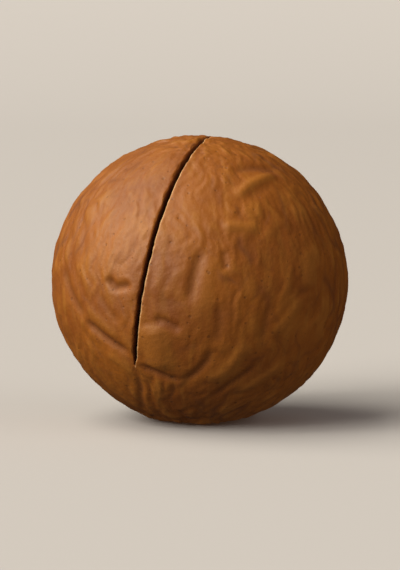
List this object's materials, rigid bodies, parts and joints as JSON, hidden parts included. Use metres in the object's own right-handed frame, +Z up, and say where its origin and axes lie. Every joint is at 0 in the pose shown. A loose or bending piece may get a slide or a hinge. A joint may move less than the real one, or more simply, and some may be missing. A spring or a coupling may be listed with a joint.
{
  "type": "macadamia nut in shell",
  "caption": "Round hard-shelled nut with a wrinkled brown shell, sawn with one narrow slit for opening, resting on the small flat spot in its base scar.",
  "frame": {"origin": "middle of the small flat spot that the nut rests on, in the plane of the surface under it", "axes": "+Z up, from the base scar to the tip; -Y is the front, where the slit shows; +X to the right seen from the front"},
  "size_m": [0.025, 0.0244, 0.024],
  "materials": {
    "shell": "satin brown nut shell, wrinkled, with paler worn ridges and a dark sawn slit"
  },
  "bodies": {
    "root": {"nut": "shell"}
  },
  "joints": []
}
